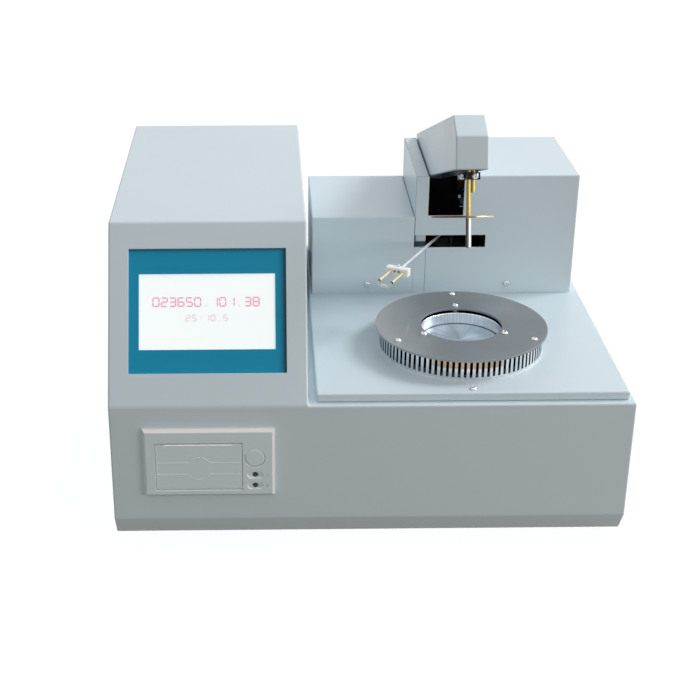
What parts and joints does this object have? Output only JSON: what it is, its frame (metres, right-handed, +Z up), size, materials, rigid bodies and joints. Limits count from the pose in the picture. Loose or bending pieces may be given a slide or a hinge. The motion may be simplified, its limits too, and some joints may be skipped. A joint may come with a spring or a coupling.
{
  "type": "flash point tester",
  "caption": "Bench open cup flash point tester with a screen tower, panel printer, slotted round heater, lifting test arm and swinging glow igniter.",
  "frame": {"origin": "middle of the underside of the whole part's box, on the surface that the feet stand on", "axes": "+X to the right seen from the front, +Y to the back, +Z up"},
  "size_m": [0.4344, 0.3733, 0.353],
  "materials": {
    "paint": "fine textured powder coat",
    "sheet_steel": "zinc plated sheet",
    "disc_steel": "satin, turned",
    "bright_steel": "bright, turned",
    "screw_chrome": "nickel plated",
    "rubber": "matte",
    "teal_panel": "printed film, satin",
    "display": "lit white screen behind a touch film",
    "circuit_board": "solder mask",
    "ceramic": null,
    "insulation": "ceramic fibre board",
    "brass": "polished",
    "black_plastic": "fine grain",
    "black_metal": "black oxide",
    "bezel_plastic": "moulded, fine grain",
    "rocker_plastic": "moulded",
    "paper": null
  },
  "bodies": {
    "case": {"housing": "paint", "rear_panel": "paint", "work_deck": "paint", "hood_tabs": "paint", "hood_low": "paint", "hood_tall": "paint", "closing_strip": "paint", "base_plate": "sheet_steel", "power_supply": "sheet_steel", "heater_pan": "sheet_steel", "arm_brackets": "sheet_steel", "heater_cover_disc": "disc_steel", "disc_pillars": "disc_steel", "slotted_skirt": "bright_steel", "heater_block": "bright_steel", "case_screws": "screw_chrome", "disc_screws": "screw_chrome", "fan_guard": "screw_chrome", "feet": "rubber", "screen_panel": "teal_panel", "display_module": "display", "controller_board": "circuit_board", "heating_element": "ceramic", "heater_insulation": "insulation", "shaft_bushes": "brass", "inlet_blades": "brass", "lift_motor": "black_plastic", "igniter_motor": "black_plastic", "mains_inlet": "black_plastic", "switch_frame": "black_plastic", "fan_frame": "black_plastic", "printer_chassis": "black_plastic", "printer_bezel": "bezel_plastic"},
    "arm": {"arm_cover": "paint", "arm_frame": "sheet_steel", "arm_shaft": "bright_steel", "sector_gear": "brass", "probe_bracket": "sheet_steel", "probe_clamp": "black_metal", "clamp_screws": "screw_chrome", "wire_tube": "brass", "ring_tube": "brass", "detection_ring": "brass", "temperature_probe": "bright_steel"},
    "igniter": {"igniter_hub": "sheet_steel", "igniter_rod": "bright_steel", "ceramic_block": "ceramic", "electrode_posts": "brass", "glow_coil": "ceramic", "igniter_screws": "screw_chrome"},
    "lift_drive": {"lift_pinion": "bright_steel"},
    "door": {"printer_door": "bezel_plastic"},
    "release": {"release_button": "bezel_plastic"},
    "key_upper": {"upper_key": "black_plastic"},
    "key_lower": {"lower_key": "black_plastic"},
    "rocker": {"power_rocker": "rocker_plastic"},
    "fuse": {"fuse_drawer": "black_plastic"},
    "fan": {"fan_rotor": "black_plastic"},
    "roll": {"paper_roll": "paper"},
    "platen": {"platen_roller": "rubber"}
  },
  "joints": [
    {"name": "arm_lift", "type": "hinge", "parent": "case", "child": "arm", "pos_m": [0.0792, 0.14975, 0.2445], "axis": [1, 0, 0], "range_deg": [0, 19.35]},
    {"name": "lift_pinion_spin", "type": "hinge", "parent": "case", "child": "lift_drive", "pos_m": [0.1085, 0.12082, 0.21003], "axis": [1, 0, 0], "range_deg": [-78, 0]},
    {"name": "igniter_sweep", "type": "hinge", "parent": "case", "child": "igniter", "pos_m": [0.0943, 0.08335, 0.195], "axis": [0, 0, 1], "range_deg": [0, 48]},
    {"name": "printer_door_hinge", "type": "hinge", "parent": "case", "child": "door", "pos_m": [-0.14375, -0.18465, 0.0604], "axis": [1, 0, 0], "range_deg": [0, 85]},
    {"name": "release_button_press", "type": "slide", "parent": "case", "child": "release", "axis": [0, 1, 0], "range_m": [0, 0.0012], "stiffness_N_per_m": 400},
    {"name": "upper_key_press", "type": "slide", "parent": "case", "child": "key_upper", "axis": [0, 1, 0], "range_m": [0, 0.0007], "stiffness_N_per_m": 200},
    {"name": "lower_key_press", "type": "slide", "parent": "case", "child": "key_lower", "axis": [0, 1, 0], "range_m": [0, 0.0007], "stiffness_N_per_m": 200},
    {"name": "power_rocker_tilt", "type": "hinge", "parent": "case", "child": "rocker", "pos_m": [-0.1002, 0.18115, 0.063], "axis": [1, 0, 0], "range_deg": [-15, 0]},
    {"name": "fuse_drawer_slide", "type": "slide", "parent": "case", "child": "fuse", "axis": [0, 1, 0], "range_m": [0, 0.014]},
    {"name": "fan_spin", "type": "hinge", "parent": "case", "child": "fan", "pos_m": [-0.1352, 0.17, 0.198], "axis": [0, 1, 0], "continuous": true},
    {"name": "paper_roll_spin", "type": "hinge", "parent": "case", "child": "roll", "pos_m": [-0.14375, -0.15605, 0.0803], "axis": [1, 0, 0], "continuous": true},
    {"name": "platen_spin", "type": "hinge", "parent": "case", "child": "platen", "pos_m": [-0.14375, -0.17005, 0.1045], "axis": [1, 0, 0], "continuous": true}
  ],
  "couplings": [
    {"joint": "lift_pinion_spin", "follows": "arm_lift", "ratio": -4}
  ]
}
